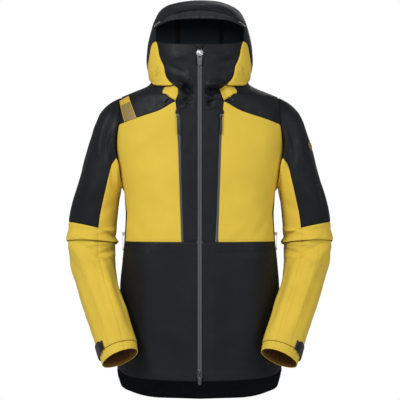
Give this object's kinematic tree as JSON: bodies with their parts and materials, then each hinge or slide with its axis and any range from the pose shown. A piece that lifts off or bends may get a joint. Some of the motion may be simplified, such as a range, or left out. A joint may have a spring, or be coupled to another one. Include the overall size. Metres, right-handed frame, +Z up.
{
  "type": "ski jacket",
  "caption": "Hooded hardshell ski jacket with a two-way front zip, chest pocket zips, side vent zips, stiff hood brim and hook-and-loop cuff tabs, filled out as if worn.",
  "frame": {"origin": "middle of the hanger loop inside the back of the neck", "axes": "+Z up along the hanging jacket, -Y out of the front, +X towards the wearer's left sleeve"},
  "size_m": [0.6878, 0.3605, 1.0517],
  "materials": {
    "shell_yellow": "matte three-layer shell, fine plain weave",
    "shell_black": "matte three-layer shell, fine plain weave",
    "brim_charcoal": "matte stiffened shell",
    "zip_chain": "coated reversed coil",
    "slider_silver": "satin plated",
    "slider_gun": "dark satin",
    "rubber_black": "moulded, matte",
    "reflective": "retro-reflective stripes",
    "tab_black": "laminated hook-and-loop tab",
    "slider_light": "light plastic"
  },
  "bodies": {
    "root": {"centre_placket_left": "shell_black", "centre_placket_right": "shell_black", "chest_panel_left": "shell_yellow", "chest_panel_right": "shell_yellow", "lower_front_left": "shell_black", "lower_front_right": "shell_black", "shoulder_front_left": "shell_black", "shoulder_front_right": "shell_black", "side_panel_left": "shell_black", "side_panel_right": "shell_black", "back_yoke": "shell_black", "mid_back": "shell_yellow", "lower_back": "shell_black", "collar_front_left": "shell_black", "collar_front_right": "shell_black", "cheek_left": "shell_yellow", "cheek_right": "shell_yellow", "hood_side_left": "shell_black", "hood_side_right": "shell_black", "hood_crown": "shell_black", "main_zip_chain_left": "zip_chain", "main_zip_chain_right": "zip_chain", "storm_flap": "shell_black", "zip_garage": "shell_black", "chest_zip_left": "zip_chain", "chest_zip_right": "zip_chain", "side_zip_left": "zip_chain", "side_zip_right": "zip_chain", "hanger_loop": "shell_black", "shoulder_reflector": "reflective", "sleeve_badge": "rubber_black", "hood_cord_lock_left": "rubber_black", "hood_cord_lock_right": "rubber_black", "sleeve_cap_outer_left": "shell_black", "sleeve_cap_outer_right": "shell_black", "sleeve_cap_inner_left": "shell_yellow", "sleeve_cap_inner_right": "shell_yellow"},
    "hood_brim": {"hood_brim": "brim_charcoal"},
    "main_slider": {"main_slider": "slider_silver"},
    "main_puller": {"main_puller": "slider_gun"},
    "bottom_slider": {"bottom_slider": "slider_gun"},
    "bottom_puller": {"bottom_puller": "slider_gun"},
    "chest_slider_left": {"chest_slider_left": "slider_gun"},
    "chest_puller_left": {"chest_puller_left": "rubber_black"},
    "side_slider_left": {"side_slider_left": "slider_light"},
    "upper_arm_left": {"upper_sleeve_outer_left": "shell_black", "upper_sleeve_inner_left": "shell_yellow", "elbow_panel_left": "shell_yellow"},
    "forearm_left": {"forearm_outer_left": "shell_yellow", "forearm_inner_left": "shell_yellow"},
    "cuff_tab_left": {"cuff_tab_left": "tab_black"},
    "chest_slider_right": {"chest_slider_right": "slider_gun"},
    "chest_puller_right": {"chest_puller_right": "rubber_black"},
    "side_slider_right": {"side_slider_right": "slider_light"},
    "upper_arm_right": {"upper_sleeve_outer_right": "shell_black", "upper_sleeve_inner_right": "shell_yellow", "elbow_panel_right": "shell_yellow"},
    "forearm_right": {"forearm_outer_right": "shell_yellow", "forearm_inner_right": "shell_yellow"},
    "cuff_tab_right": {"cuff_tab_right": "tab_black"}
  },
  "joints": [
    {"name": "main_zip_slide", "type": "slide", "parent": "root", "child": "main_slider", "axis": [0, -0.04, -0.9992], "range_m": [0, 0.55]},
    {"name": "main_puller_hinge", "type": "hinge", "parent": "main_slider", "child": "main_puller", "pos_m": [0, -0.18726, 0.05358], "axis": [-1, 0, 0], "range_deg": [0, 120]},
    {"name": "bottom_zip_slide", "type": "slide", "parent": "root", "child": "bottom_slider", "axis": [0, 0.04, 0.9992], "range_m": [0, 0.2]},
    {"name": "bottom_puller_hinge", "type": "hinge", "parent": "bottom_slider", "child": "bottom_puller", "pos_m": [0, -0.21944, -0.75092], "axis": [-1, 0, 0], "range_deg": [0, 120]},
    {"name": "chest_zip_slide_left", "type": "slide", "parent": "root", "child": "chest_slider_left", "axis": [-0.0338, -0.0439, -0.9985], "range_m": [0, 0.25]},
    {"name": "chest_puller_hinge_left", "type": "hinge", "parent": "chest_slider_left", "child": "chest_puller_left", "pos_m": [0.05463, -0.19042, -0.10373], "axis": [-1, 0, 0], "range_deg": [0, 120]},
    {"name": "side_zip_slide_left", "type": "slide", "parent": "root", "child": "side_slider_left", "axis": [-0.0006, 0.0629, 0.998], "range_m": [0, 0.088]},
    {"name": "shoulder_swing_left", "type": "hinge", "parent": "root", "child": "upper_arm_left", "pos_m": [0.2944, -0.069, -0.1873], "axis": [0, -1, 0], "range_deg": [0, 22]},
    {"name": "elbow_bend_left", "type": "hinge", "parent": "upper_arm_left", "child": "forearm_left", "pos_m": [0.2813, -0.1266, -0.408], "axis": [-1, 0, 0], "range_deg": [0, 45]},
    {"name": "cuff_tab_peel_left", "type": "hinge", "parent": "forearm_left", "child": "cuff_tab_left", "pos_m": [0.24785, -0.183, -0.70751], "axis": [0.2986, 0.4673, 0.8321], "range_deg": [0, 70]},
    {"name": "chest_zip_slide_right", "type": "slide", "parent": "root", "child": "chest_slider_right", "axis": [0.0338, -0.0439, -0.9985], "range_m": [0, 0.25]},
    {"name": "chest_puller_hinge_right", "type": "hinge", "parent": "chest_slider_right", "child": "chest_puller_right", "pos_m": [-0.05463, -0.19042, -0.10373], "axis": [-1, 0, 0], "range_deg": [0, 120]},
    {"name": "side_zip_slide_right", "type": "slide", "parent": "root", "child": "side_slider_right", "axis": [0.0006, 0.0629, 0.998], "range_m": [0, 0.088]},
    {"name": "shoulder_swing_right", "type": "hinge", "parent": "root", "child": "upper_arm_right", "pos_m": [-0.2944, -0.069, -0.1873], "axis": [0, 1, 0], "range_deg": [0, 22]},
    {"name": "elbow_bend_right", "type": "hinge", "parent": "upper_arm_right", "child": "forearm_right", "pos_m": [-0.2813, -0.1266, -0.408], "axis": [-1, 0, 0], "range_deg": [0, 45]},
    {"name": "cuff_tab_peel_right", "type": "hinge", "parent": "forearm_right", "child": "cuff_tab_right", "pos_m": [-0.24785, -0.183, -0.70751], "axis": [0.2986, -0.4673, -0.8321], "range_deg": [0, 70]},
    {"name": "brim_flip", "type": "hinge", "parent": "root", "child": "hood_brim", "pos_m": [0, -0.163, 0.173], "axis": [-1, 0, 0], "range_deg": [0, 30]}
  ]
}
